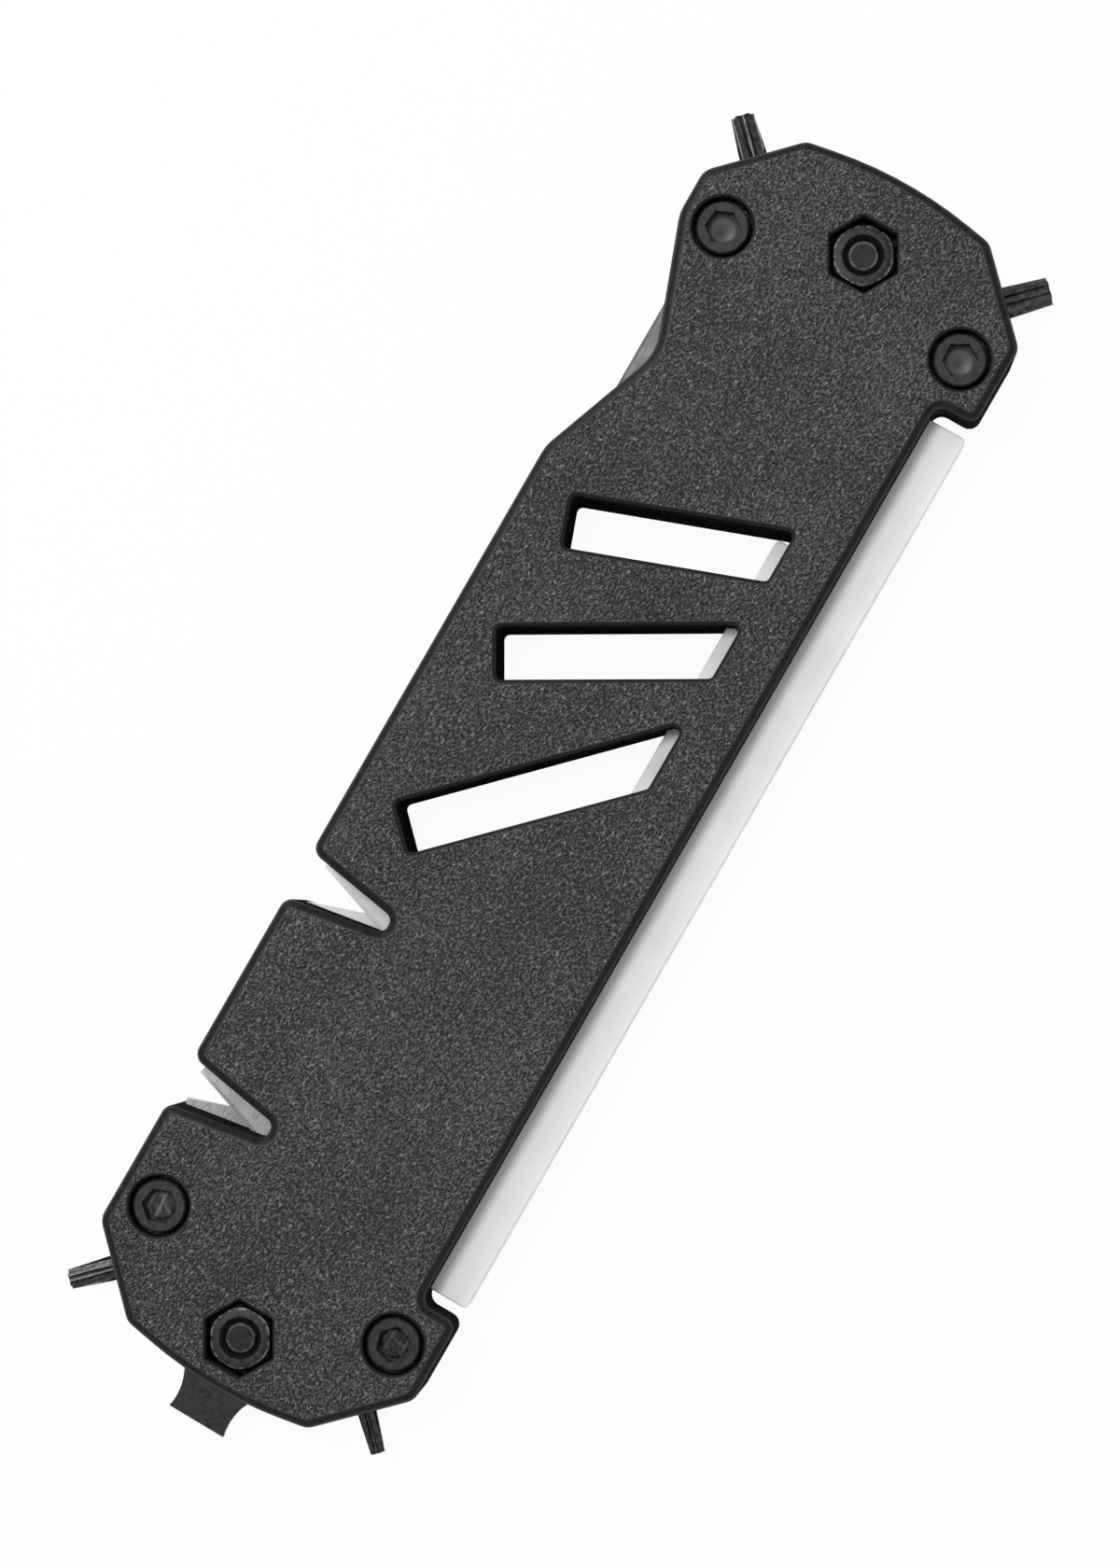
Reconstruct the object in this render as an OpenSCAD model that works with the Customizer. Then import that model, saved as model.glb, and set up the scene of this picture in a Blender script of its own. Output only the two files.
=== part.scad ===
// Pull through knife sharpener with fixed driver tips.
// Two moulded scales meet at a parting plane and clamp everything else between
// them: crossed inserts in two V notches, a long ceramic hone, a steel plate
// in the neck, a flat driver in the tail and a star bit in each corner.
// X runs towards the neck end, Y towards the notched edge, Z out of the front.
// The origin is under the middle of the whole tool, on the rear face.

/* [Handle] */
// Length between the two ends, without their bow
handle_l = 161.25; // [156:0.05:168]
// Width over both long edges
handle_w = 43; // [42.4:0.1:46]
// Thickness over both scales
handle_t = 13; // [12.6:0.1:16]
// Length and width taken off each corner of the notched edge
left_cut = 8.9; // [8:0.05:9.6]
// Length and width taken off each corner of the hone's edge
right_cut = 9.3; // [8:0.05:9.8]
// Rise of each end to the point where its two tangents meet
end_bow = 2.2; // [0.8:0.1:3]
// Share of each end that its bow rounds
end_bow_share = 0.75; // [0.4:0.05:0.8]
// Radius that rounds the outer corners
corner_r = 2.2; // [1.3:0.1:3]
// Radius rolled round the rims of both faces
rim_r = 1.1; // [0.5:0.05:1.15]
// Bevel at the parting plane
parting_bevel = 0.15; // [0.05:0.01:0.3]

/* [Neck] */
// Place of the neck's middle, as a share of the handle's length
neck_share = 0.31; // [0.3:0.0005:0.32]
// Length of the neck, as a share of the handle's length
neck_l_share = 0.198; // [0.16:0.0005:0.21]
// Depth of the neck to where its two slopes would meet
neck_depth = 5.95; // [5:0.05:7]
// Radius in the bottom of the neck
neck_r = 6.5; // [5:0.5:13]
// Radius where the neck leaves the edge
neck_shoulder_r = 5; // [2:0.5:8]

/* [Neck plate] */
// Thickness of the steel plate
plate_t = 2; // [1.2:0.1:2.6]
// Length of the straight back
plate_l = 17.5; // [15:0.5:19]
// Depth of the plate's back below the handle's edge
plate_sink = 3.25; // [2.6:0.05:4]
// Gap from the middle of the neck to the middle of the plate
plate_shift = 0.75; // [0:0.05:1.6]
// Width of the eye round the head bolt, as a share of the handle's width
plate_eye_share = 0.25; // [0.2:0.01:0.28]
// Bevel ground along the back
plate_bevel = 0.5; // [0.2:0.05:0.7]

/* [V notches] */
// Places of the ceramic and the carbide notch, as shares of the handle's length
notch_shares = [-0.1524, -0.327]; // [-0.34:0.0001:-0.14]
// Width of a notch at the edge
notch_mouth = 6.1; // [5:0.05:7]
// Width of a notch at its foot
notch_foot = 2.05; // [1.6:0.05:2.6]
// Depth of a notch
notch_depth = 12.3; // [10:0.05:14]
// Radius of the lips of a notch
notch_lip_r = 1.6; // [1.3:0.1:1.8]

/* [Inserts] */
// Lean of each insert away from the middle of its notch
insert_lean = 18.5; // [15:0.5:24]
// Gap from the middle of a notch to the point of its V
v_shift = 0.35; // [0:0.05:0.8]
// Thickness of one insert
insert_t = 2; // [1.4:0.1:2.6]
// Length of an insert
insert_l = 14; // [11:0.5:15]
// Width of a ceramic insert
ceramic_w = 4; // [3:0.1:5]
// Width of a carbide insert
carbide_w = 2.6; // [2:0.1:3.6]
// Depth from the edge to the point of the ceramic V
ceramic_v_depth = 8.95; // [7.5:0.05:9.6]
// Depth from the edge to the point of the carbide V
carbide_v_depth = 6.6; // [5:0.1:7.5]
// Depth of the ceramic inserts' upper corners below the edge
ceramic_sink = 1.8; // [1.2:0.1:2.4]
// Depth of the carbide inserts' upper corners below the edge
carbide_sink = 1.1; // [0.6:0.1:1.6]
// Width of the bevel ground on the working edge
insert_bevel = 0.5; // [0.2:0.05:0.7]

/* [Hone] */
// Distance of the hone's ends from the handle's ends
hone_end = 21.1; // [19:0.05:26]
// Thickness of the hone
hone_t = 4; // [3:0.1:5]
// Width of the bar behind which the tongue begins
hone_bar_w = 8.6; // [7:0.1:9.5]
// How far the hone's tongue runs past the middle of the first window's foot
tongue_past = 2; // [0.5:0.1:3]
// Width of the tongue that shows in the windows
tongue_show = 1.7; // [1:0.05:2.5]
// Depth of the hone's outer edge below the handle's edge
hone_sink = 0.15; // [0:0.05:0.4]
// Gap between the hone and each shoulder of the front scale
hone_gap = 1.4; // [0.8:0.05:1.8]
// How much farther the shoulders of the rear scale stand off
rear_relief = 0.8; // [0:0.1:0.9]
// Depth of the recess in the handle's edge
hone_recess = 5.05; // [3.6:0.05:5.6]
// Radius at the shoulders of the recess
shoulder_r = 1.4; // [1.3:0.1:1.8]
// Bevel round the hone
hone_bevel = 0.3; // [0.1:0.05:0.5]

/* [Windows] */
// Width of each window between its walls
window_w = 6.3; // [5:0.1:6.8]
// Land between the recess and the foot of the windows
window_land = 7; // [6:0.05:8]
// Land between the notched edge and the top of the windows
window_top_land = 5.75; // [5:0.05:7.6]
// Radius in the corners of a window
window_r = 0.7; // [0.4:0.05:1]
// Radius rolled round the rim of a window
window_rim_r = 0.5; // [0.3:0.05:0.8]

/* [Corner posts] */
// Distance of the posts from the handle's ends
post_end = 13.8; // [12.8:0.05:14.2]
// Distance of the posts from the handle's long edges
post_edge = 5.4; // [4.9:0.05:5.8]
// Diameter of a post's head
post_head_d = 6.3; // [5.4:0.1:6.4]
// Height of a post's head
post_head_h = 2.4; // [1.8:0.1:2.6]
// Depth of the heads below the faces
post_sink = 0.5; // [0.2:0.05:0.8]
// Diameter of the barrel
barrel_d = 4.4; // [3.8:0.1:4.8]
// Length of the barrel past the parting plane
barrel_past = 1.5; // [1:0.1:2]
// Diameter of the screw in the barrel
post_screw_d = 3; // [2:0.1:3.2]
// Width across the flats of a post's hex socket
post_socket = 3.8; // [3:0.1:4]
// Depth of a post's hex socket
post_socket_depth = 1.5; // [1:0.1:1.7]
// Turn of each post's hex socket: head left, head right, tail left, tail right
post_turns = [-7, 0, -10, 16]; // [-30:1:30]

/* [Bolts] */
// Distance of the head bolt from the head end
head_bolt_end = 8.5; // [7.6:0.05:9]
// Distance of the tail bolt from the tail end
tail_bolt_end = 5.1; // [4.8:0.05:6]
// Thread diameter of both bolts
bolt_d = 4; // [3:0.1:4.4]
// Diameter of a bolt's chamfered tip
bolt_tip_d = 3.3; // [2.4:0.1:3.6]
// Depth of a bolt's tip below the nut's face
bolt_tip_sink = 0.4; // [0.2:0.1:0.8]
// Diameter of a bolt's head
bolt_head_d = 7; // [6:0.1:7.4]
// Height of a bolt's head
bolt_head_h = 2.6; // [2:0.1:3]
// Width across the flats of a bolt's hex socket
bolt_socket = 2.5; // [2:0.1:3]
// Depth of a bolt's hex socket
bolt_socket_depth = 1.6; // [1:0.1:1.8]
// Depth of the bolt heads below the rear face
bolt_sink = 0.5; // [0.2:0.1:0.8]
// Width of a nut across its flats
nut_w = 7; // [6.4:0.1:7.2]
// Height of a nut
nut_h = 3.2; // [2.4:0.1:3.4]
// Depth of a nut's face below the front face
nut_sink = 1; // [0.6:0.1:1.2]
// Diameter of the countersink in a nut
nut_sink_d = 5.06; // [4.6:0.02:5.4]

/* [Flat driver] */
// Thickness of the driver's plate
driver_t = 2; // [1.4:0.1:2.4]
// Radius of the eye round the tail bolt
driver_eye_r = 4.6; // [4:0.1:5]
// Reach of the tip from the middle of the tail bolt
driver_reach = 12.1; // [11:0.1:14]
// Width of the tip
driver_tip_w = 7.5; // [6:0.1:8.4]
// Width where the driver leaves the handle
driver_root_w = 10; // [9:0.1:11]
// Thickness of the ground tip
driver_tip_t = 0.9; // [0.6:0.1:1.3]
// Radius of the waist on each side
driver_waist_r = 7; // [5:0.5:9]
// Length of the ground faces
driver_grind_l = 4; // [3:0.1:4.6]

/* [Star bits] */
// Widths of the four star tips over their lobes
star_widths = [1.75, 2.4, 2.8, 3.35]; // [1.4:0.05:3.6]
// Widths of the four star bits where they leave the handle
star_roots = [2.4, 3.2, 3.6, 3.9]; // [2:0.05:3.95]
// Lengths of the four star tips outside the handle
star_outs = [5.45, 6.5, 6.15, 5.85]; // [5:0.05:7]
// Width of the hex shank across its flats
shank_w = 4; // [3.8:0.1:4.4]
// Length of the hex shank
shank_l = 7; // [5:0.1:7.4]
// Length of the tip inside the handle
star_in = 3; // [2.4:0.1:4]

/* [Fits] */
// Gap round a piece that lies in a pocket
pocket_gap = 0.15; // [0.08:0.01:0.25]
// Gap round a shank in a hole
hole_gap = 0.1; // [0.05:0.01:0.2]
// Gap round a head or a nut in its recess
recess_gap = 0.5; // [0.3:0.05:0.6]
// Radius rolled round the rims of the recesses
recess_rim_r = 0.3; // [0.2:0.05:0.4]
// Bevel round the heads of the bolts and the posts
head_bevel = 0.2; // [0.1:0.05:0.4]

/* [Hidden] */

// How far a cut runs past the surface that it opens
overrun = 1;
// Largest gap between a rounded corner and its facets
facet_gap = 0.02;
// Facets that roll a rim from the wall to the face
roll_steps = 4;
// Share of its last chord by which the cutter of a rim runs past the face
rim_past_share = 0.25;
// Round surfaces
$fn = 64;
// A circle of this many sides is a hexagon
HEX = 6;

scale_t = handle_t / 2;
end_x = handle_l / 2;
edge_y = handle_w / 2;
cut_y = edge_y - right_cut;

neck_x = handle_l * neck_share;
neck_l = handle_l * neck_l_share;
plate_eye_r = handle_w * plate_eye_share / 2;
ceramic_x = handle_l * notch_shares[0];
carbide_x = handle_l * notch_shares[1];
// Share of the foot's width that its two corners take as their radius
notch_foot_share = 0.52;

// Shares of the handle's length at which the middle of each window lies, at its
// foot and at its top: they lean by about 20, 30 and 45 degrees
window_foot_shares = [0.2248, 0.1449, 0.057];
window_top_shares = [0.1679, 0.0547, -0.0993];

hone_l = handle_l - 2 * hone_end;
tongue_l = 2 * (handle_l * window_foot_shares[0] + tongue_past);
recess_x = hone_l / 2 + hone_gap;
recess_y = hone_recess - edge_y;
window_foot_y = recess_y + window_land;
window_top_y = edge_y - window_top_land;
tongue_y = window_foot_y + tongue_show;
bar_y = hone_bar_w + hone_sink - edge_y;

post_x = end_x - post_end;
post_y = edge_y - post_edge;
head_bolt_x = end_x - head_bolt_end;
tail_bolt_x = tail_bolt_end - end_x;
nut_floor = scale_t - nut_sink - nut_h;
post_floor = scale_t - post_sink - post_head_h;
bolt_floor = scale_t - bolt_sink - bolt_head_h;

// The corner that each star bit has, in the order of their widths
bit_places = [[-1, -1], [-1, 1], [1, 1], [1, -1]];

// Middle of the whole tool, from the driver's tip to the bowed head end
bow_lean = atan(end_bow / cut_y);
end_bow_r = end_bow_share * cut_y / sin(bow_lean);
bow_x = end_x + end_bow - end_bow_r * (1 / cos(bow_lean) - 1);
driver_x = tail_bolt_x - driver_reach;
middle_x = (bow_x + driver_x) / 2;
star_reach = star_outs + star_widths / 2;
left_reach = max(star_reach[1], star_reach[2]);
right_reach = max(star_reach[0], star_reach[3]);
middle_y = ((left_reach - right_reach) * sin(45) + (right_cut - left_cut) / 2) / 2;

// Shares of a star tip's width: the root between lobes, a flute
star_root_share = 0.72;
star_flute_share = 0.18;
// Share of the hexagon's corners that a nut's cone takes off
nut_cone_share = 0.97;
// A drilled point: its width as a share of the socket's, its height over its radius
point_w_share = 0.96;
point_share = 0.5;

// Outline of a scale whose recess ends at x, each corner as X, Y and its radius
function outline_corners(x) = concat(
    [[end_x, -cut_y, corner_r], [end_x + end_bow, 0, end_bow_r],
     [end_x, edge_y - left_cut, corner_r], [end_x - left_cut, edge_y, corner_r],
     [neck_x + neck_l / 2, edge_y, neck_shoulder_r],
     [neck_x, edge_y - neck_depth, neck_r],
     [neck_x - neck_l / 2, edge_y, neck_shoulder_r]],
    notch_corners(ceramic_x),
    notch_corners(carbide_x),
    [[left_cut - end_x, edge_y, corner_r], [-end_x, edge_y - left_cut, corner_r],
     [-end_x - end_bow, 0, end_bow_r], [-end_x, -cut_y, corner_r],
     [right_cut - end_x, -edge_y, corner_r],
     [-x, -edge_y, shoulder_r], [-x, recess_y, shoulder_r],
     [x, recess_y, shoulder_r], [x, -edge_y, shoulder_r],
     [end_x - right_cut, -edge_y, corner_r]]
);

// The four corners of a V notch whose middle is at x
function notch_corners(x) = [
    [x + notch_mouth / 2, edge_y, notch_lip_r],
    [x + notch_foot / 2, edge_y - notch_depth, notch_foot * notch_foot_share],
    [x - notch_foot / 2, edge_y - notch_depth, notch_foot * notch_foot_share],
    [x - notch_mouth / 2, edge_y, notch_lip_r],
];

// The four corners of window i, from its foot round to its top
function window_corners(i) =
    let (foot_x = handle_l * window_foot_shares[i], top_x = handle_l * window_top_shares[i])
    let (lean = atan((foot_x - top_x) / (window_top_y - window_foot_y)))
    let (half = window_w / 2 / cos(lean), high_x = top_x + half)
    let (low_x = high_x - window_w * cos(lean))
    [
        [foot_x - half, window_foot_y, window_r],
        [foot_x + half, window_foot_y, window_r],
        [high_x, window_top_y, window_r],
        [low_x, window_top_y - window_w * sin(lean), window_r],
    ];

// The corners of a hexagon with its flats towards X
function hex_corners(x, flats, radius) = [
    for (i = [0:HEX - 1])
        let (angle = 30 + i * 60, reach = flats / 2 / cos(30))
        [x + reach * cos(angle), reach * sin(angle), radius]
];

function unit(v) = v / norm(v);
function turned(v, a) = [v.x * cos(a) - v.y * sin(a), v.x * sin(a) + v.y * cos(a)];
function flat(p) = [p.x, p.y];

// Points of the arc of radius r that rounds corner p between a and c
function corner_arc(a, p, c, r) =
    let (u = unit(a - p), v = unit(c - p))
    let (half = acos(u * v) / 2)
    let (middle = p + unit(u + v) * r / sin(half))
    let (start = p + u * r / tan(half) - middle)
    let (turn = (180 - 2 * half) * sign(cross(p - a, c - p)))
    let (steps = ceil(abs(turn) / (2 * acos(1 - facet_gap / r))))
    [for (k = [0:steps]) middle + turned(start, turn * k / steps)];

// An outline with every corner rounded
function rounded(corners) =
    let (n = len(corners))
    [for (i = [0:n - 1])
        each corner_arc(flat(corners[(i + n - 1) % n]), flat(corners[i]),
                        flat(corners[(i + 1) % n]), corners[i].z)];

// An outline moved inwards by d, or outwards where d is negative
function inset(points, d) =
    let (n = len(points))
    [for (i = [0:n - 1])
        let (before = turned(unit(points[i] - points[(i + n - 1) % n]), 90))
        let (after = turned(unit(points[(i + 1) % n] - points[i]), 90))
        points[i] + (before + after) * d / (1 + before * after)];

// Point k of a quarter round of radius r, as inset from the wall and height
function roll_point(r, k) =
    let (a = 90 * k / roll_steps)
    [r * (1 - cos(a)), scale_t - r * (1 - sin(a))];

// Where a line from p through q ends, drawn out past q by a share of itself
function past(p, q, share) = q + (q - p) * share;

// A quarter round up to the face, its last chord drawn out past the face
function roll_out(r) = concat(
    [for (k = [0:roll_steps - 1]) roll_point(r, k)],
    [past(roll_point(r, roll_steps - 1), roll_point(r, roll_steps), 1)]
);

// The section that a rolled rim takes off outside its quarter round
function roll_section(r) =
    let (low = past(roll_point(r, 1), roll_point(r, 0), 1))
    let (high = past(roll_point(r, roll_steps - 1), roll_point(r, roll_steps), rim_past_share))
    concat([low, [low.x, high.y], high],
        [for (k = [roll_steps - 1:-1:1]) roll_point(r, k)]);

// The section that a bevel takes off the lower edge of a wall
function bevel_section(b) = [[-b, -b], [-b, 2 * b], [2 * b, -b]];

// Copies of an outline, one for each pair of inset and height
function ringed(points, levels) = [for (level = levels)
    each [for (p = inset(points, level[0])) [p.x, p.y, level[1]]]];

// The faces between ring j and ring k of n points
function between(j, k, n) = [for (i = [0:n - 1])
    let (next = (i + 1) % n)
    [j * n + i, k * n + i, k * n + next, j * n + next]];

// A closed band along an outline, its section as pairs of inset and height
module band(points, section) {
    n = len(points);
    m = len(section);
    polyhedron(ringed(points, section),
        [for (j = [0:m - 1]) each between(j, (j + 1) % m, n)]);
}

// A solid through copies of an outline that bulges all the way round
module stacked(points, levels) {
    n = len(points);
    top = len(levels) - 1;
    polyhedron(ringed(points, levels), concat(
        [[for (i = [0:n - 1]) i]],
        [for (j = [0:top - 1]) each between(j, j + 1, n)],
        [[for (i = [n - 1:-1:0]) top * n + i]]
    ));
}

// Levels of a cut that opens in a rolled rim at the face
function opening(r) =
    let (roll = roll_out(r))
    concat([for (p = roll) [-p.x, p.y]],
        [[-roll[roll_steps].x, scale_t + overrun]]);

// A cutter for a window, bevelled at the parting plane
module window_cutter(i) {
    stacked(rounded(window_corners(i)), concat(
        [[-2 * parting_bevel, -overrun], [-2 * parting_bevel, -parting_bevel],
         [0, parting_bevel]],
        opening(window_rim_r)
    ));
}

// A round recess from height low to the face, with a rolled rim
module round_recess(d, low) {
    r = d / 2;
    roll = [for (p = roll_out(recess_rim_r)) [r + p.x, p.y]];
    out = r + roll_out(recess_rim_r)[roll_steps].x;
    rotate_extrude()
        polygon(concat([[0, low], [r, low]], roll,
            [[out, scale_t + overrun], [0, scale_t + overrun]]));
}

// Everything is drawn about the handle's middle and then moved to the origin
module placed() {
    translate([-middle_x, -middle_y, scale_t]) children();
}

module pocket(depth) {
    translate([0, 0, -overrun]) linear_extrude(depth + overrun) children();
}

module hone_shape(gap, out) {
    low_y = hone_sink - edge_y - out;
    translate([-hone_l / 2 - gap, low_y])
        square([hone_l + 2 * gap, bar_y - low_y + gap]);
    translate([-tongue_l / 2 - gap, bar_y])
        square([tongue_l + 2 * gap, tongue_y - bar_y + gap]);
}

module plate_shape(gap) {
    back_y = edge_y - plate_sink;
    middle_x = neck_x - plate_shift;
    difference() {
        union() {
            translate([middle_x - plate_l / 2 - gap, -plate_eye_r - gap])
                square([plate_l + 2 * gap, back_y + plate_eye_r + 2 * gap]);
            translate([middle_x, -plate_eye_r - gap])
                square([head_bolt_x - middle_x, 2 * (plate_eye_r + gap)]);
            translate([head_bolt_x, 0]) circle(plate_eye_r + gap);
        }
        children();
    }
}

// The driver's waist is cut from a wider tab by one arc on each side
module driver_shape(gap) {
    root_x = -end_x - end_bow / 2;
    slope = (driver_root_w - driver_tip_w) / 2;
    run = root_x - driver_x;
    chord = norm([run, slope]);
    rise = sqrt(driver_waist_r ^ 2 - chord ^ 2 / 4);
    lean = atan(slope / run);
    side_x = (driver_x + root_x) / 2 - rise * sin(lean);
    side_y = (driver_tip_w + driver_root_w) / 4 + rise * cos(lean);
    translate([tail_bolt_x, 0]) circle(driver_eye_r + gap);
    translate([root_x, -driver_root_w / 2 - gap])
        square([tail_bolt_x - root_x, driver_root_w + 2 * gap]);
    difference() {
        translate([driver_x - gap, -driver_root_w / 2 - gap])
            square([run + 2 * gap, driver_root_w + 2 * gap]);
        for (s = [-1, 1])
            translate([side_x, s * side_y]) circle(driver_waist_r - gap);
    }
}

// Outline of one insert that leans to one side of its notch
module insert_shape(x, v_depth, sink, width, side, gap) {
    reach = (v_depth - sink) / cos(insert_lean);
    translate([x - v_shift, edge_y - v_depth])
        rotate(-side * insert_lean)
            translate([side < 0 ? -width - gap : -gap, reach - insert_l - gap])
                square([width + 2 * gap, insert_l + 2 * gap]);
}

// Places children at a star bit, square to the corner cut that it leaves
module at_bit(side_x, side_y) {
    half_cut = (side_y > 0 ? left_cut : right_cut) / 2;
    translate([side_x * (end_x - half_cut), side_y * (edge_y - half_cut), 0])
        rotate([0, 0, side_y * (90 - side_x * 45)])
            rotate([0, 90, 0])
                children();
}

module bit_pocket(i) {
    deep = star_in + shank_l + pocket_gap;
    rotate([0, 0, 30])
        translate([0, 0, -deep])
            cylinder(h = shank_l + 2 * pocket_gap, d = shank_w / cos(30), $fn = HEX);
    translate([0, 0, -star_in])
        cylinder(h = star_in + overrun + end_bow, d = star_roots[i] + 2 * pocket_gap);
}

// A scale with its rims and windows, before anything is cut out inside
module scale_body(outline) {
    difference() {
        linear_extrude(scale_t) polygon(outline);
        band(outline, roll_section(rim_r));
        band(outline, bevel_section(parting_bevel));
        for (i = [0:2]) window_cutter(i);
    }
}

// A scale before the pockets that differ from front to rear
module scale_blank(outline) {
    difference() {
        scale_body(outline);
        pocket(hone_t / 2) hone_shape(pocket_gap, overrun);
        pocket(plate_t / 2) plate_shape(pocket_gap);
        pocket(driver_t / 2) driver_shape(pocket_gap);
        for (i = [0:3])
            at_bit(bit_places[i].x, bit_places[i].y) bit_pocket(i);
        for (x = [-post_x, post_x], y = [-post_y, post_y])
            translate([x, y, 0]) round_recess(post_head_d + 2 * recess_gap, post_floor);
        for (x = [tail_bolt_x, head_bolt_x])
            translate([x, 0, -overrun])
                cylinder(h = scale_t, d = bolt_d + 2 * hole_gap);
    }
}

module post_holes(d, deep) {
    for (x = [-post_x, post_x], y = [-post_y, post_y])
        translate([x, y, -overrun]) cylinder(h = deep + overrun, d = d);
}

module front_scale() {
    color("#2b2b2d") placed() difference() {
        scale_blank(rounded(outline_corners(recess_x)));
        post_holes(barrel_d + 2 * hole_gap, post_floor + overrun);
        for (x = [tail_bolt_x, head_bolt_x])
            stacked(rounded(hex_corners(x, nut_w + 2 * recess_gap, recess_rim_r)),
                concat([[0, nut_floor]], opening(recess_rim_r)));
        pocket(insert_t)
            insert_shape(ceramic_x, ceramic_v_depth, ceramic_sink, ceramic_w, 1, pocket_gap);
        pocket(insert_t)
            insert_shape(carbide_x, carbide_v_depth, carbide_sink, carbide_w, 1, pocket_gap);
    }
}

// The rear scale is drawn face up and turned over about the X axis
module rear_scale() {
    color("#27272a") placed() mirror([0, 0, 1]) difference() {
        scale_blank(rounded(outline_corners(recess_x + rear_relief)));
        post_holes(barrel_d + 2 * hole_gap, barrel_past + hole_gap);
        post_holes(post_screw_d + 2 * hole_gap, post_floor + overrun);
        for (x = [tail_bolt_x, head_bolt_x])
            translate([x, 0, 0]) round_recess(bolt_head_d + 2 * recess_gap, bolt_floor);
        pocket(insert_t)
            insert_shape(ceramic_x, ceramic_v_depth, ceramic_sink, ceramic_w, -1, pocket_gap);
        pocket(insert_t)
            insert_shape(carbide_x, carbide_v_depth, carbide_sink, carbide_w, -1, pocket_gap);
    }
}

module ceramic_hone() {
    half = hone_t / 2;
    low_y = hone_sink - edge_y;
    outline = rounded([for (p = [
        [-hone_l / 2, low_y], [hone_l / 2, low_y], [hone_l / 2, bar_y],
        [tongue_l / 2, bar_y], [tongue_l / 2, tongue_y], [-tongue_l / 2, tongue_y],
        [-tongue_l / 2, bar_y], [-hone_l / 2, bar_y],
    ]) [p.x, p.y, 2 * hone_bevel]]);
    color("#e4e3df") placed() difference() {
        translate([0, 0, -half]) linear_extrude(hone_t) polygon(outline);
        for (s = [0, 1])
            mirror([0, 0, s]) translate([0, 0, -half])
                band(outline, bevel_section(hone_bevel / 2));
    }
}

// A bar that touches its twin at the parting plane, bevelled on its work edge
module insert(x, v_depth, sink, width, side) {
    reach = (v_depth - sink) / cos(insert_lean);
    section = [[0, 0], [width, 0], [width, insert_t], [insert_bevel, insert_t],
        [0, insert_t - insert_bevel]];
    placed() translate([x - v_shift, edge_y - v_depth, 0])
        rotate([0, 0, -side * insert_lean])
            mirror([side < 0 ? 1 : 0, 0, 0])
                mirror([0, 0, side < 0 ? 1 : 0])
                    translate([0, reach, 0])
                        rotate([90, 0, 0])
                            linear_extrude(insert_l) polygon(section);
}

module ceramic_insert_front() {
    color("#dcdbd6") insert(ceramic_x, ceramic_v_depth, ceramic_sink, ceramic_w, 1);
}

module ceramic_insert_rear() {
    color("#cfcec9") insert(ceramic_x, ceramic_v_depth, ceramic_sink, ceramic_w, -1);
}

module carbide_insert_front() {
    color("#9a9b9d") insert(carbide_x, carbide_v_depth, carbide_sink, carbide_w, 1);
}

module carbide_insert_rear() {
    color("#8b8c8e") insert(carbide_x, carbide_v_depth, carbide_sink, carbide_w, -1);
}

module neck_plate() {
    back_y = edge_y - plate_sink;
    color("#a8a9aa") placed() difference() {
        translate([0, 0, -plate_t / 2]) linear_extrude(plate_t)
            plate_shape(0) translate([head_bolt_x, 0]) circle(d = bolt_d + 2 * hole_gap);
        for (s = [-1, 1])
            translate([neck_x - plate_shift, back_y, s * plate_t / 2])
                rotate([45, 0, 0])
                    cube([plate_l + overrun, plate_bevel, plate_bevel], center = true);
    }
}

module flat_driver() {
    half = driver_t / 2;
    tip_half = driver_tip_t / 2;
    side = [[0, half], [driver_x + driver_grind_l, half], [driver_x, tip_half],
        [driver_x, -tip_half], [driver_x + driver_grind_l, -half], [0, -half]];
    color("#3a3b3d") placed() difference() {
        intersection() {
            translate([0, 0, -half]) linear_extrude(driver_t) driver_shape(0);
            translate([0, driver_root_w, 0]) rotate([90, 0, 0])
                linear_extrude(2 * driver_root_w) polygon(side);
        }
        translate([tail_bolt_x, 0, -driver_t])
            cylinder(h = 2 * driver_t, d = bolt_d + 2 * hole_gap);
    }
}

// A hex shank that a tapered six lobed tip stands on
module star_bit(i) {
    width = star_widths[i];
    tip_l = star_in + star_outs[i];
    flute = width * star_flute_share;
    color("#303133") placed() at_bit(bit_places[i].x, bit_places[i].y) {
        difference() {
            union() {
                translate([0, 0, -star_in]) cylinder(h = star_in, d = star_roots[i]);
                cylinder(h = star_outs[i], d1 = star_roots[i], d2 = width);
            }
            for (k = [0:HEX - 1])
                rotate([0, 0, k * 60])
                    translate([width * star_root_share / 2 + flute, 0, -star_in / 2])
                        cylinder(h = tip_l, r = flute, $fn = 32);
        }
        rotate([0, 0, 30])
            translate([0, 0, -star_in - shank_l])
                cylinder(h = shank_l, d = shank_w / cos(30), $fn = HEX);
    }
}

module star_bit_6() { star_bit(0); }
module star_bit_8() { star_bit(1); }
module star_bit_10() { star_bit(2); }
module star_bit_15() { star_bit(3); }

// A hex socket sunk from height top, with a drilled point at its foot
module hex_socket(top, flats, deep, turn) {
    rotate([0, 0, turn])
        translate([0, 0, top - deep])
            cylinder(h = deep + overrun, d = flats / cos(30), $fn = HEX);
    point_r = flats / 2 * point_w_share;
    translate([0, 0, top - deep - point_r * point_share])
        cylinder(h = point_r * point_share, r1 = 0, r2 = point_r);
}

// A round head with a chamfered edge, its foot at the given height
module socket_head(d, low, h, flats, deep, turn) {
    edge = head_bevel;
    difference() {
        translate([0, 0, low]) union() {
            cylinder(h = h - edge, d = d);
            translate([0, 0, h - edge]) cylinder(h = edge, d1 = d, d2 = d - 2 * edge);
        }
        hex_socket(low + h, flats, deep, turn);
    }
}

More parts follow.
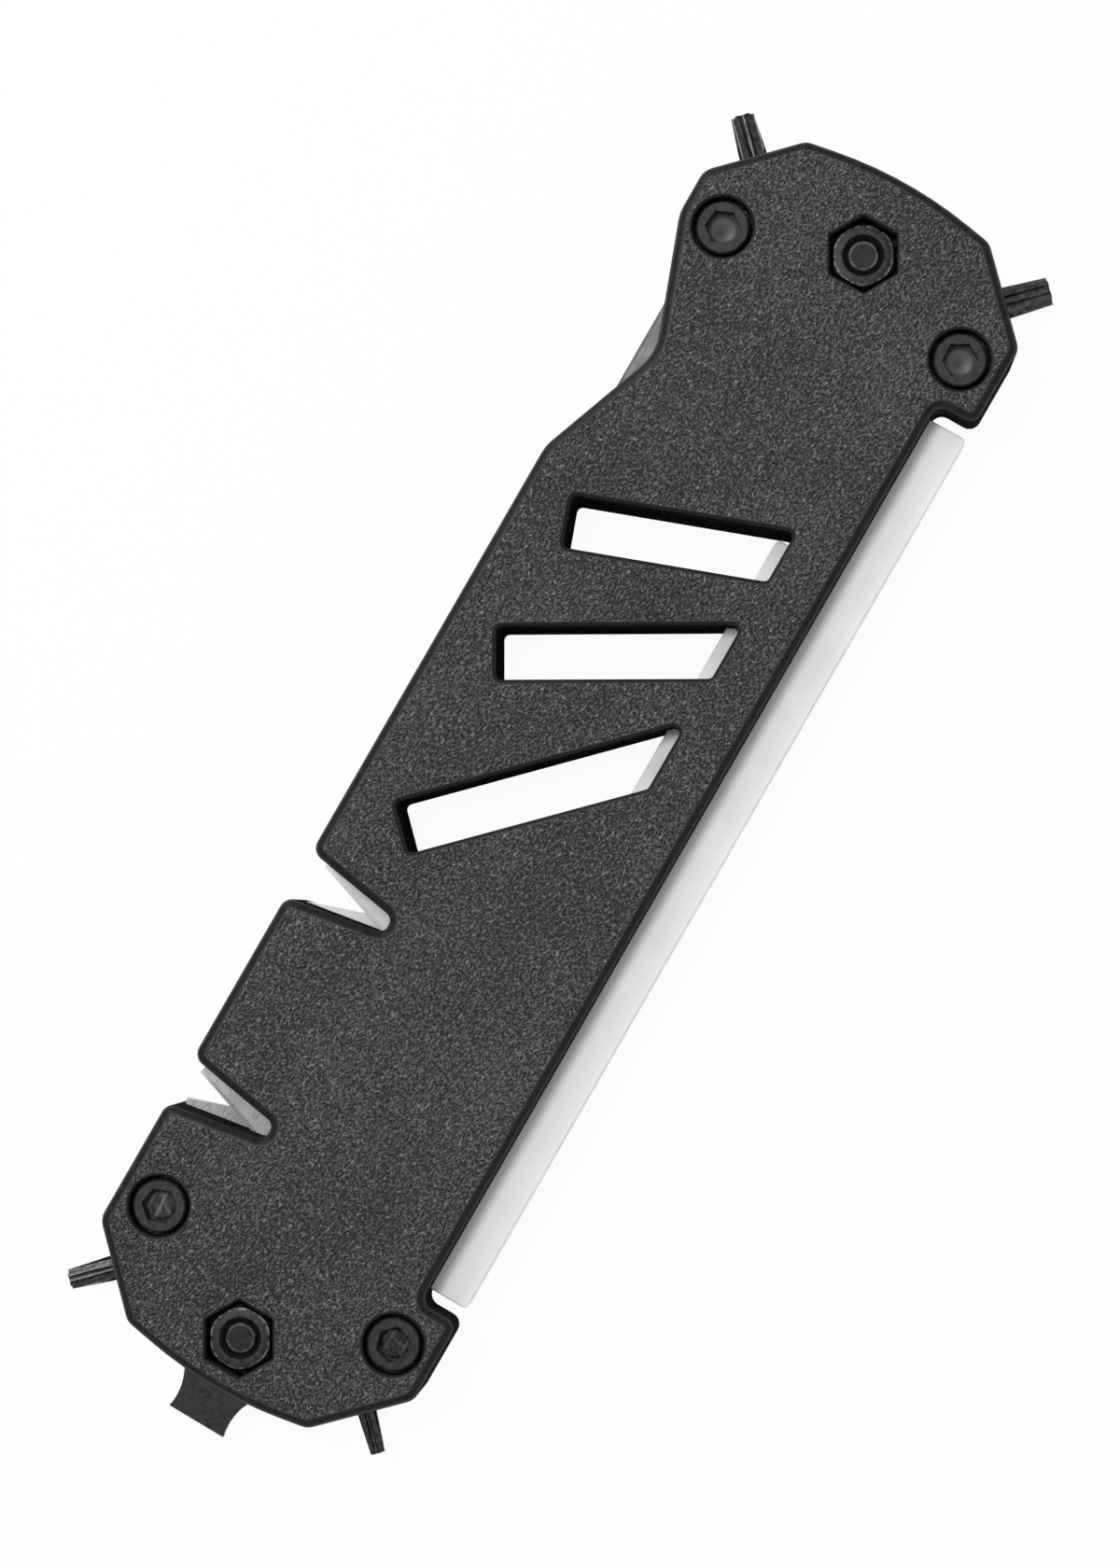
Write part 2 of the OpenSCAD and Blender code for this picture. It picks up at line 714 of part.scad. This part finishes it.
// The bolt goes in from the rear, so it is drawn head up and turned over
module bolt(x) {
    tip = scale_t - nut_sink - bolt_tip_sink;
    point = (bolt_d - bolt_tip_d) / 2;
    color("#3c3d40") placed() translate([x, 0, 0]) mirror([0, 0, 1]) {
        socket_head(bolt_head_d, bolt_floor, bolt_head_h, bolt_socket, bolt_socket_depth, 0);
        translate([0, 0, point - tip]) cylinder(h = bolt_floor + tip - point, d = bolt_d);
        translate([0, 0, -tip]) cylinder(h = point, d1 = bolt_tip_d, d2 = bolt_d);
    }
}

module nut(x) {
    corner_d = nut_w / cos(30);
    cone_h = corner_d - nut_w;
    sink = (nut_sink_d - bolt_d) / 2;
    color("#414245") placed() translate([x, 0, nut_floor]) difference() {
        intersection() {
            rotate([0, 0, 30]) cylinder(h = nut_h, d = corner_d, $fn = HEX);
            union() {
                cylinder(h = nut_h - cone_h / 2, d = corner_d + overrun);
                translate([0, 0, nut_h - cone_h / 2])
                    cylinder(h = cone_h / 2, d1 = corner_d + overrun, d2 = nut_w * nut_cone_share);
            }
        }
        translate([0, 0, -overrun]) cylinder(h = nut_h + 2 * overrun, d = bolt_d);
        translate([0, 0, nut_h - sink]) cylinder(h = sink, d1 = bolt_d, d2 = nut_sink_d);
        cylinder(h = sink, d1 = nut_sink_d, d2 = bolt_d);
    }
}

module head_bolt() { bolt(head_bolt_x); }
module tail_bolt() { bolt(tail_bolt_x); }
module head_nut() { nut(head_bolt_x); }
module tail_nut() { nut(tail_bolt_x); }

// A headed barrel from the front, tapped from its far end
module barrel_nut(side_x, side_y, turn) {
    color("#47484b") placed() translate([side_x * post_x, side_y * post_y, 0])
        difference() {
            union() {
                socket_head(post_head_d, post_floor, post_head_h,
                    post_socket, post_socket_depth, turn);
                translate([0, 0, -barrel_past])
                    cylinder(h = post_floor + barrel_past, d = barrel_d);
            }
            translate([0, 0, -barrel_past - overrun])
                cylinder(h = post_floor + barrel_past + overrun, d = post_screw_d);
        }
}

// The screw that meets it from the rear
module barrel_screw(side_x, side_y) {
    color("#47484b") placed() translate([side_x * post_x, side_y * post_y, 0])
        mirror([0, 0, 1]) {
            socket_head(post_head_d, post_floor, post_head_h,
                post_socket, post_socket_depth, 0);
            translate([0, 0, -barrel_past])
                cylinder(h = post_floor + barrel_past, d = post_screw_d);
        }
}

module barrel_nut_head_left() { barrel_nut(1, 1, post_turns[0]); }
module barrel_nut_head_right() { barrel_nut(1, -1, post_turns[1]); }
module barrel_nut_tail_left() { barrel_nut(-1, 1, post_turns[2]); }
module barrel_nut_tail_right() { barrel_nut(-1, -1, post_turns[3]); }
module barrel_screw_head_left() { barrel_screw(1, 1); }
module barrel_screw_head_right() { barrel_screw(1, -1); }
module barrel_screw_tail_left() { barrel_screw(-1, 1); }
module barrel_screw_tail_right() { barrel_screw(-1, -1); }

front_scale();
rear_scale();
ceramic_hone();
ceramic_insert_front();
ceramic_insert_rear();
carbide_insert_front();
carbide_insert_rear();
neck_plate();
flat_driver();
star_bit_6();
star_bit_8();
star_bit_10();
star_bit_15();
head_bolt();
head_nut();
tail_bolt();
tail_nut();
barrel_nut_head_left();
barrel_nut_head_right();
barrel_nut_tail_left();
barrel_nut_tail_right();
barrel_screw_head_left();
barrel_screw_head_right();
barrel_screw_tail_left();
barrel_screw_tail_right();
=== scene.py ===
"""Looks of the pull through knife sharpener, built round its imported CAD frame.

Everything is in metres in the frame of the part: X runs towards the neck end,
Y towards the notched edge, and Z out of the front face.
"""

import math

import bpy
from mathutils import Matrix, Vector


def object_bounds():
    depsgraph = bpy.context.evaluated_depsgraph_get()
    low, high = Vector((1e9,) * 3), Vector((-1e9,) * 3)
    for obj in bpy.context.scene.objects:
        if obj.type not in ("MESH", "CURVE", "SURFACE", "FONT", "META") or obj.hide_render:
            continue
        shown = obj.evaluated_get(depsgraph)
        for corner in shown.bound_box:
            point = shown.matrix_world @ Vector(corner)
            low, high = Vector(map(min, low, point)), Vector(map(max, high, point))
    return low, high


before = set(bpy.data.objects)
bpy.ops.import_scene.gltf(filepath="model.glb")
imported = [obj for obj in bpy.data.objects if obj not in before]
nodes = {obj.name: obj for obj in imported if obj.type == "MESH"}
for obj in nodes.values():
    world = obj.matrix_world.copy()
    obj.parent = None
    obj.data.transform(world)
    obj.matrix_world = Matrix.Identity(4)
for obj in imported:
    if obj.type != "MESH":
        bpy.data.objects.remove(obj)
cad_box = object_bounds()

MM = 0.001
FRONT_Z = cad_box[1][2]

# Place of the camera and the point that it looks at, in the frame
CAMERA_AT = Vector((2.27 * MM, -32.65 * MM, FRONT_Z + 414 * MM))
CAMERA_AIM = Vector((2.9 * MM, -0.34 * MM, FRONT_Z))
# Angle of the tool in the picture, from the picture's right to the neck end
TOOL_TURN = math.radians(60)
# Half the height that the picture shows at the front face
HALF_VIEW = 92.4 * MM
# Edges that bend by less than this are shaded smooth
SMOOTH_BELOW = math.radians(27)
# Upright share of the normal below which a scale is its rim, and then its wall
RIM_BELOW = 0.9995
WALL_BELOW = 0.3
# The same share between which a bevel turns from the face's colour to its own lighter one,
# partly its ground finish and partly painted light
BEVEL_FROM, BEVEL_TO = 0.97, 0.88
# Strength of the light from the horizon and from overhead
HORIZON_LIGHT, OVERHEAD_LIGHT = 0.46, 0.56
# How white the camera sees the floor; the rest keeps the tool's shadow
FLOOR_GLOW = 0.95
FLOOR_HALF = 1.5
FLOOR_GAP = 0.02 * MM
WHITE = (1, 1, 1)


# Node graphs


class Graph:
    """The node tree of a material or world, with short calls for its nodes."""

    def __init__(self, owner, end="ShaderNodeOutputMaterial"):
        self.owner = owner
        owner.use_nodes = True
        self.tree = owner.node_tree
        self.tree.nodes.clear()
        self.out = self.node(end)

    def put(self, socket, value):
        """Links a node's output to socket, or sets socket to a constant."""
        if hasattr(value, "is_output"):
            self.tree.links.new(value, socket)
        elif socket.type == "RGBA":
            socket.default_value = (*value, 1)
        else:
            socket.default_value = value

    def node(self, kind, inputs=(), **settings):
        made = self.tree.nodes.new(kind)
        for key, value in settings.items():
            setattr(made, key, value)
        for key, value in dict(inputs).items():
            self.put(made.inputs[key], value)
        return made

    def where(self, stretch=(1, 1, 1), turn=0):
        """Object coordinates in metres, turned about Z and multiplied by stretch."""
        place = self.node("ShaderNodeTexCoord").outputs["Object"]
        if turn:
            place = self.node(
                "ShaderNodeVectorRotate",
                {"Vector": place, "Angle": turn},
                rotation_type="Z_AXIS",
            ).outputs[0]
        return self.vector("MULTIPLY", place, stretch).outputs[0]

    def vector(self, operation, a, b=(0, 0, 0)):
        return self.node("ShaderNodeVectorMath", {0: a, 1: b}, operation=operation)

    def noise(self, place, size, detail=2.0, roughness=0.5):
        """Noise from 0 to 1 whose features are about size metres apart."""
        return self.node(
            "ShaderNodeTexNoise",
            {
                "Vector": place,
                "Scale": 1 / size,
                "Detail": detail,
                "Roughness": roughness,
            },
        ).outputs[0]

    def math(self, operation, a, b=0.0):
        return self.node("ShaderNodeMath", {0: a, 1: b}, operation=operation).outputs[0]

    def ramp(self, value, low, high, to_low=0.0, to_high=1.0, way="SMOOTHSTEP"):
        """value from low to high, mapped to to_low to to_high and held past them."""
        return self.node(
            "ShaderNodeMapRange",
            {
                "Value": value,
                "From Min": low,
                "From Max": high,
                "To Min": to_low,
                "To Max": to_high,
            },
            interpolation_type=way,
        ).outputs[0]

    def mix(self, share, a, b):
        """Colour a, with colour b for its share."""
        return self.node(
            "ShaderNodeMix", {0: share, 6: a, 7: b}, data_type="RGBA"
        ).outputs[2]

    def upright(self):
        """How much the surface faces along Z, from 0 on walls to 1 on faces."""
        normal = self.node("ShaderNodeTexCoord").outputs["Normal"]
        z = self.node("ShaderNodeSeparateXYZ", {0: normal}).outputs[2]
        return self.math("ABSOLUTE", z)

    def reach(self, place, middle):
        """Distance of place from the upright line through middle."""
        off = self.vector("SUBTRACT", place, (middle.x, middle.y, 0)).outputs[0]
        flat = self.vector("MULTIPLY", off, (1, 1, 0)).outputs[0]
        return self.vector("LENGTH", flat).outputs["Value"]

    def bump(self, height, depth, strength):
        return self.node(
            "ShaderNodeBump", {"Height": height, "Distance": depth, "Strength": strength}
        ).outputs[0]

    def bevelled(self, colour, ground):
        """colour, with ground where the surface leans, if ground is given; ground is partly
        painted light that lifts the bevels' shade.
        """
        if ground is None:
            return colour
        # Painted light: leaning bevels are coloured lighter, partly their ground finish and
        # partly to lift the shade they fall in
        painted_bevel_light = self.ramp(self.upright(), BEVEL_FROM, BEVEL_TO)
        return self.mix(painted_bevel_light, colour, ground)

    def mottled(self, place, low, high):
        """The pattern of black oxide on steel, and its colour from low to high."""
        pattern = self.noise(place, 0.7 * MM, 4, 0.6)
        return pattern, self.mix(self.ramp(pattern, 0.3, 0.7), low, high)

    def pitted(self, place):
        """The normal of black oxide, with its fine pits."""
        return self.bump(self.noise(place, 0.1 * MM, 2), 0.012 * MM, 0.4)

    def seen(self):
        """1 for rays of the camera, of gloss and of glass, and 0 for all others."""
        path = self.node("ShaderNodeLightPath").outputs
        ahead = self.math("MAXIMUM", path["Is Camera Ray"], path["Is Transmission Ray"])
        return self.math("MAXIMUM", ahead, path["Is Glossy Ray"])

    def end(self, shader):
        self.put(self.out.inputs[0], shader.outputs[0])
        return self.owner

    def surface(self, **inputs):
        """Ends the material in one principled shader. Names take _ for a space."""
        named = {key.replace("_", " "): value for key, value in inputs.items()}
        return self.end(self.node("ShaderNodeBsdfPrincipled", named))


def material(name):
    return Graph(bpy.data.materials.new(name))


def times(colour, share):
    return tuple(min(1, part * share) for part in colour)


# Materials


def moulded_black():
    """Black moulded plastic with a pebbled grain and painted glints, for the two faces."""
    g = material("moulded_black")
    place = g.where((0.62, 1, 1), 0.3)
    worm = g.noise(place, 0.24 * MM, 2, 0.6)
    fine = g.noise(place, 0.14 * MM, 1)
    # Painted highlights: light specks painted into the grain's colour as glints
    painted_glint = g.ramp(g.noise(place, 0.3 * MM, 2, 0.6), 0.6, 0.7)
    broad = g.noise(place, 12 * MM, 2)
    ridge = g.math("ADD", worm, g.math("MULTIPLY", fine, 0.35))
    tone = g.math("ADD", ridge, g.math("MULTIPLY", broad, 0.12))
    tone = g.ramp(tone, 0.66, 0.95)
    colour = g.mix(tone, (0.003, 0.003, 0.0031), (0.12, 0.12, 0.121))
    colour = g.mix(g.math("MULTIPLY", painted_glint, 0.6), colour, (0.32, 0.32, 0.322))
    return g.surface(
        Base_Color=colour,
        Roughness=g.ramp(fine, 0.3, 0.7, 0.3, 0.4),
        Normal=g.bump(ridge, 0.3 * MM, 1.0),
        Specular_IOR_Level=0.2,
    )


def moulded_rim():
    """The same plastic on the rolled rims, where the mould was polished.

    It is lightest where it leaves the face, blending into the face's tone, and lighter
    again low on the roll, where a highlight is painted.
    """
    g = material("moulded_rim")
    fine = g.noise(g.where(), 0.5 * MM, 3)
    tone = g.ramp(fine, 0.35, 0.65)
    colour = g.mix(tone, (0.005, 0.005, 0.0052), (0.011, 0.011, 0.0115))
    tilt = g.upright()
    # Painted highlight: lighter low on the roll, where its normal turns from upright
    # towards the silhouette
    colour = g.mix(g.ramp(tilt, 0.8, 0.55), colour, (0.026, 0.026, 0.027))
    colour = g.mix(g.ramp(tilt, 0.965, 0.998), colour, (0.034, 0.034, 0.0345))
    return g.surface(
        Base_Color=colour,
        Roughness=g.ramp(fine, 0.3, 0.7, 0.36, 0.46),
        Normal=g.bump(fine, 0.05 * MM, 0.4),
        Specular_IOR_Level=0.12,
    )


def moulded_wall():
    """The same plastic where it was drawn from the mould: matt upright streaks."""
    g = material("moulded_wall")
    streak = g.noise(g.where((1, 1, 0.1)), 0.4 * MM, 2)
    fine = g.noise(g.where(), 0.3 * MM, 2)
    patch = g.noise(g.where(), 2.4 * MM, 2)
    tone = g.math("ADD", g.math("MULTIPLY", streak, 0.4), g.math("MULTIPLY", patch, 0.25))
    tone = g.math("ADD", tone, g.math("MULTIPLY", fine, 0.35))
    tone = g.ramp(tone, 0.34, 0.7)
    return g.surface(
        Base_Color=g.mix(tone, (0.011, 0.011, 0.0112), (0.03, 0.03, 0.031)),
        Roughness=g.ramp(patch, 0.3, 0.7, 0.6, 0.75),
        Normal=g.bump(fine, 0.08 * MM, 0.6),
        Specular_IOR_Level=0.0,
    )


def fired_white(name, low, high, ground=None):
    """Fired ceramic, a little uneven and matt, with fine pores.

    ground is the lighter colour of its ground bevels, where it has them; that lightness is
    partly painted light.
    """
    g = material(name)
    place = g.where()
    cloud = g.noise(place, 9 * MM, 3)
    pores = g.noise(place, 0.16 * MM, 2)
    speck = g.ramp(g.noise(place, 0.6 * MM, 4), 0.66, 0.78)
    colour = g.mix(g.ramp(cloud, 0.3, 0.7), low, high)
    colour = g.mix(g.math("MULTIPLY", speck, 0.25), colour, times(low, 0.72))
    return g.surface(
        Base_Color=g.bevelled(colour, ground),
        Roughness=g.ramp(pores, 0.2, 0.8, 0.46, 0.62),
        Normal=g.bump(pores, 0.02 * MM, 0.35),
        Subsurface_Weight=0.4,
        Subsurface_Radius=(1, 1, 1),
        Subsurface_Scale=1.2 * MM,
    )


def nut_black(middle, flats):
    """Blackened steel of a nut, with painted shade in the cone round the bolt and past its
    bevel.

    flats is its width over the flats. A ring near the bevel has a painted highlight.
    """
    g = material("oxide_nut")
    place = g.where()
    out = g.reach(place, middle)
    mottle, top = g.mottled(place, (0.016, 0.016, 0.0165), (0.036, 0.036, 0.037))
    # Painted highlight: a lighter ring just inside the bevel, broken up by the mottle
    wear_and_highlight = g.ramp(out, 0.475 * flats, 0.492 * flats)
    wear_and_highlight = g.math("MULTIPLY", wear_and_highlight, g.ramp(mottle, 0.4, 0.6))
    top = g.mix(wear_and_highlight, top, (0.17, 0.17, 0.173))
    # Painted shade: near black in the cone round the bolt and past the bevel
    past_cone = g.ramp(out, 2.36 * MM, 2.56 * MM)
    before_bevel = g.ramp(out, 0.52 * flats, 0.507 * flats)
    face = g.math("MULTIPLY", past_cone, before_bevel)
    return g.surface(
        Base_Color=g.mix(face, (0.002, 0.002, 0.0021), top),
        Metallic=g.ramp(face, 0, 1, 0.0, 0.5),
        Roughness=g.ramp(mottle, 0.25, 0.75, 0.4, 0.52),
        Normal=g.pitted(place),
        Specular_IOR_Level=0.1,
    )


def bolt_black(middle):
    """Blackened steel of a bolt, with a painted highlight round the rim of its front end.
    """
    g = material("oxide_bolt")
    place = g.where()
    out = g.reach(place, middle)
    inside = g.ramp(out, 1.42 * MM, 1.56 * MM)
    outside = g.ramp(out, 1.86 * MM, 1.72 * MM)
    height = g.node("ShaderNodeSeparateXYZ", {0: place}).outputs[2]
    front_end = g.ramp(height, 7 * MM, 8 * MM)
    rim = g.math("MULTIPLY", g.math("MULTIPLY", inside, outside), front_end)
    mottle, colour = g.mottled(place, (0.004, 0.004, 0.0042), (0.014, 0.014, 0.0145))
    # Painted highlight: a lighter ring round the rim of the front end, broken up by the
    # mottle
    wear_and_highlight = g.math("MULTIPLY", rim, g.ramp(mottle, 0.3, 0.6))
    turned = g.noise(g.where((1, 1, 8)), 0.35 * MM, 2)
    return g.surface(
        Base_Color=g.mix(wear_and_highlight, colour, (0.08, 0.08, 0.082)),
        Metallic=0.4,
        Roughness=g.ramp(mottle, 0.25, 0.75, 0.38, 0.5),
        Normal=g.bump(turned, 0.05 * MM, 0.6),
        Specular_IOR_Level=0.2,
    )


def post_black(middle):
    """Blackened steel of a barrel nut, with a painted highlight in its drilled socket."""
    g = material("oxide_post")
    place = g.where()
    # Painted highlight: lighter towards the middle of the drilled socket
    socket = g.ramp(g.reach(place, middle), 1.75 * MM, 1.2 * MM)
    mottle, colour = g.mottled(place, (0.014, 0.014, 0.0145), (0.032, 0.032, 0.033))
    return g.surface(
        Base_Color=g.mix(socket, colour, (0.11, 0.11, 0.112)),
        Metallic=0.4,
        Roughness=g.ramp(mottle, 0.25, 0.75, 0.42, 0.54),
        Normal=g.pitted(place),
        Specular_IOR_Level=0.14,
    )


def ground_metal(name, low, high, along, size, rough, metal, ground=None):
    """Metal ground or brushed in one direction, with blotches and a few marks.

    along stretches its lines, which are size apart. ground is the lighter
    colour of its ground bevels, where it has them, partly painted light.
    """
    g = material(name)
    line = g.noise(g.where(along), size, 3, 0.6)
    cloud = g.noise(g.where(), 3.2 * MM, 3)
    mark = g.ramp(g.noise(g.where(), 0.9 * MM, 4, 0.65), 0.6, 0.74)
    tone = g.math("ADD", g.math("MULTIPLY", line, 0.65), g.math("MULTIPLY", cloud, 0.35))
    colour = g.mix(g.ramp(tone, 0.34, 0.66), low, high)
    colour = g.mix(g.math("MULTIPLY", mark, 0.5), colour, times(low, 0.5))
    return g.surface(
        Base_Color=g.bevelled(colour, ground),
        Metallic=metal,
        Roughness=g.ramp(line, 0.25, 0.75, *rough),
        Normal=g.bump(line, 0.012 * MM, 0.5),
    )


def blackened(name, low, high, rough, metal, shine):
    """Black oxide on steel: dark, slightly mottled, with worn specks."""
    g = material(name)
    place = g.where()
    mottle, colour = g.mottled(place, low, high)
    wear_and_highlight = g.ramp(g.noise(place, 0.35 * MM, 3), 0.66, 0.8)
    return g.surface(
        Base_Color=g.mix(g.math("MULTIPLY", wear_and_highlight, 0.35), colour, times(high, 2.6)),
        Metallic=metal,
        Roughness=g.ramp(mottle, 0.25, 0.75, *rough),
        Normal=g.pitted(place),
        Specular_IOR_Level=shine,
    )


# Smooth surfaces


def smooth_group(name, steep=()):
    """Geometry nodes that join the faces of the import and smooth flat angles.

    steep lists a material and the upright share of the normal below which it
    goes on, from flat to steep.
    """
    group = bpy.data.node_groups.new(name, "GeometryNodeTree")
    for way in ("INPUT", "OUTPUT"):
        group.interface.new_socket(
            "Geometry", in_out=way, socket_type="NodeSocketGeometry"
        )
    new, link = group.nodes.new, group.links.new

    def compared(operation, socket, limit):
        made = new("FunctionNodeCompare")
        made.data_type = "FLOAT"
        made.operation = operation
        made.inputs[1].default_value = limit
        link(socket, made.inputs[0])
        return made.outputs[0]

    merge = new("GeometryNodeMergeByDistance")
    merge.inputs["Distance"].default_value = 0.0005 * MM
    drop = new("GeometryNodeRemoveAttribute")
    drop.inputs["Name"].default_value = "custom_normal"
    faces = new("GeometryNodeSetShadeSmooth")
    faces.domain = "FACE"
    edges = new("GeometryNodeSetShadeSmooth")
    edges.domain = "EDGE"
    edges.inputs["Shade Smooth"].default_value = False
    bend = new("GeometryNodeInputMeshEdgeAngle").outputs["Unsigned Angle"]
    link(compared("GREATER_THAN", bend, SMOOTH_BELOW), edges.inputs["Selection"])

    normal = new("GeometryNodeInputNormal")
    split = new("ShaderNodeSeparateXYZ")
    upright = new("ShaderNodeMath")
    upright.operation = "ABSOLUTE"
    link(normal.outputs[0], split.inputs[0])
    link(split.outputs[2], upright.inputs[0])
    steps = [merge, drop, faces, edges]
    for look, share in steep:
        paint = new("GeometryNodeSetMaterial")
        paint.inputs["Material"].default_value = look
        low = compared("LESS_THAN", upright.outputs[0], share)
        link(low, paint.inputs["Selection"])
        steps.append(paint)

    last = new("NodeGroupInput")
    for step in steps:
        link(last.outputs[0], step.inputs["Geometry"])
        last = step
    link(last.outputs[0], new("NodeGroupOutput").inputs[0])
    return group


def finish_node(name, look, rims):
    """Gives a CAD node its material and smooth rims."""
    thing = nodes[name]
    thing.data.materials.clear()
    thing.data.materials.append(look)
    modifier = thing.modifiers.new("smooth_rims", "NODES")
    modifier.node_group = rims


def middle_of(name):
    corners = [Vector(corner) for corner in nodes[name].bound_box]
    return sum(corners, Vector()) / len(corners)


plastic = moulded_black()
hone_white = fired_white("fired_hone", (0.78, 0.78, 0.77), (0.84, 0.84, 0.83))
insert_white = fired_white(
    # ground: a lighter bevel colour, partly painted light that lifts the bevels' shade
    "fired_insert", (0.66, 0.66, 0.65), (0.75, 0.75, 0.74), ground=(0.95, 0.95, 0.94)
)
carbide = ground_metal(
    "ground_carbide",
    (0.1, 0.102, 0.104),
    (0.3, 0.303, 0.306),
    along=(0.12, 1, 1),
    size=0.12 * MM,
    rough=(0.3, 0.48),
    metal=0.35,
    # ground: a lighter bevel colour, partly painted light that lifts the bevels' shade
    ground=(0.62, 0.62, 0.625),
)
brushed = ground_metal(
    "brushed_steel",
    (0.06, 0.06, 0.06),
    (0.17, 0.17, 0.17),
    along=(0.05, 1, 1),
    size=0.09 * MM,
    rough=(0.4, 0.54),
    metal=0.4,
)
tip_black = blackened(
    "oxide_tips",
    (0.014, 0.014, 0.0145),
    (0.055, 0.055, 0.056),
    rough=(0.2, 0.34),
    metal=0.8,
    shine=0.5,
)
driver_black = blackened(
    "oxide_driver",
    (0.016, 0.016, 0.017),
    (0.034, 0.034, 0.035),
    rough=(0.4, 0.52),
    metal=0.3,
    shine=0.2,
)
screw_black = blackened(
    "oxide_fasteners",
    (0.014, 0.014, 0.0145),
    (0.032, 0.032, 0.033),
    rough=(0.3, 0.46),
    metal=0.4,
    shine=0.14,
)

# Looks by whole names; the other nodes are taken by kind in the loop below
LOOKS = {
    "front_scale": plastic,
    "rear_scale": plastic,
    "ceramic_hone": hone_white,
    "ceramic_insert_front": insert_white,
    "ceramic_insert_rear": insert_white,
    "carbide_insert_front": carbide,
    "carbide_insert_rear": carbide,
    "neck_plate": brushed,
    "flat_driver": driver_black,
}
plain_rims = smooth_group("smooth_rims")
moulded_rims = smooth_group(
    "moulded_rims", ((moulded_rim(), RIM_BELOW), (moulded_wall(), WALL_BELOW))
)
for name in nodes:
    if name.startswith("star_bit"):
        look = tip_black
    elif name.startswith("barrel_nut"):
        look = post_black(middle_of(name))
    elif name in ("head_bolt", "tail_bolt"):
        look = bolt_black(middle_of(name))
    elif name in ("head_nut", "tail_nut"):
        look = nut_black(middle_of(name), min(nodes[name].dimensions[:2]))
    else:
        look = LOOKS.get(name, screw_black)
    finish_node(name, look, moulded_rims if name.endswith("scale") else plain_rims)


# Camera and light


def aimed(thing, place, aim, up):
    """Puts a camera or lamp at place, looking at aim, with up upwards in it."""
    back = (place - aim).normalized()
    right = up.cross(back).normalized()
    upward = back.cross(right)
    turn = Matrix((right, upward, back)).transposed().to_4x4()
    thing.matrix_world = Matrix.Translation(place) @ turn


def add(name, data):
    made = bpy.data.objects.new(name, data)
    bpy.context.scene.collection.objects.link(made)
    return made


picture_up = Vector((math.sin(TOOL_TURN), math.cos(TOOL_TURN), 0))
picture_right = Vector((math.cos(TOOL_TURN), -math.sin(TOOL_TURN), 0))

lens = bpy.data.cameras.new("photo_camera")
lens.sensor_fit = "VERTICAL"
lens.angle = 2 * math.atan(HALF_VIEW / (CAMERA_AT - CAMERA_AIM).length)
lens.clip_start = 10 * MM
lens.clip_end = 20
camera = add("photo_camera", lens)
aimed(camera, CAMERA_AT, CAMERA_AIM, picture_up)
bpy.context.scene.camera = camera


def softbox(name, right, up, high, wide, tall, strength):
    """An area lamp over the tool, its place given along the picture's axes."""
    lamp = bpy.data.lights.new(name, "AREA")
    lamp.shape = "RECTANGLE"
    lamp.size = wide
    lamp.size_y = tall
    lamp.energy = strength
    place = picture_right * right + picture_up * up + Vector((0, 0, high))
    aimed(add(name, lamp), place, CAMERA_AIM, picture_up)


softbox("key_softbox", -0.42, 0.62, 0.56, 0.3, 0.3, 3)
softbox("top_softbox", -0.24, 0.2, 1.0, 0.3, 0.3, 5.4)
softbox("edge_softbox", 0.5, -0.6, 0.4, 0.3, 0.5, 0.5)


def sky():
    """A plain studio: pale overhead, dimmer towards the horizon, and seen white."""
    g = Graph(bpy.data.worlds.new("studio"), "ShaderNodeOutputWorld")
    toward = g.node("ShaderNodeTexCoord").outputs["Generated"]
    height = g.node("ShaderNodeSeparateXYZ", {0: toward}).outputs[2]
    light = g.ramp(height, -0.1, 0.9, HORIZON_LIGHT, OVERHEAD_LIGHT, "LINEAR")
    lit = g.node("ShaderNodeBackground", {"Color": (0.8,) * 3, "Strength": light})
    shown = g.node("ShaderNodeBackground", {"Color": WHITE})
    return g.end(
        g.node(
            "ShaderNodeMixShader", {0: g.seen(), 1: lit.outputs[0], 2: shown.outputs[0]}
        )
    )


bpy.context.scene.world = sky()


# Stage


def floor():
    """A plain pale floor under the rear face, which keeps a soft shadow."""
    g = material("floor_pale")
    pale = g.mix(g.noise(g.where(), 8 * MM, 2), (0.8,) * 3, (0.84,) * 3)
    diffuse = g.node("ShaderNodeBsdfDiffuse", {"Color": pale})
    glow = g.node("ShaderNodeEmission", {"Color": WHITE, "Strength": 1.0})
    share = g.math("MULTIPLY", g.seen(), FLOOR_GLOW)
    g.end(
        g.node("ShaderNodeMixShader", {0: share, 1: diffuse.outputs[0], 2: glow.outputs[0]})
    )
    corners = [(-1, -1), (1, -1), (1, 1), (-1, 1)]
    mesh = bpy.data.meshes.new("floor")
    mesh.from_pydata(
        [(x * FLOOR_HALF, y * FLOOR_HALF, 0) for x, y in corners], [], [(0, 1, 2, 3)]
    )
    mesh.materials.append(g.owner)
    made = add("floor", mesh)
    made.location.z = -FLOOR_GAP


floor()

bpy.context.scene.view_settings.view_transform = "Standard"

bpy.context.view_layer.update()
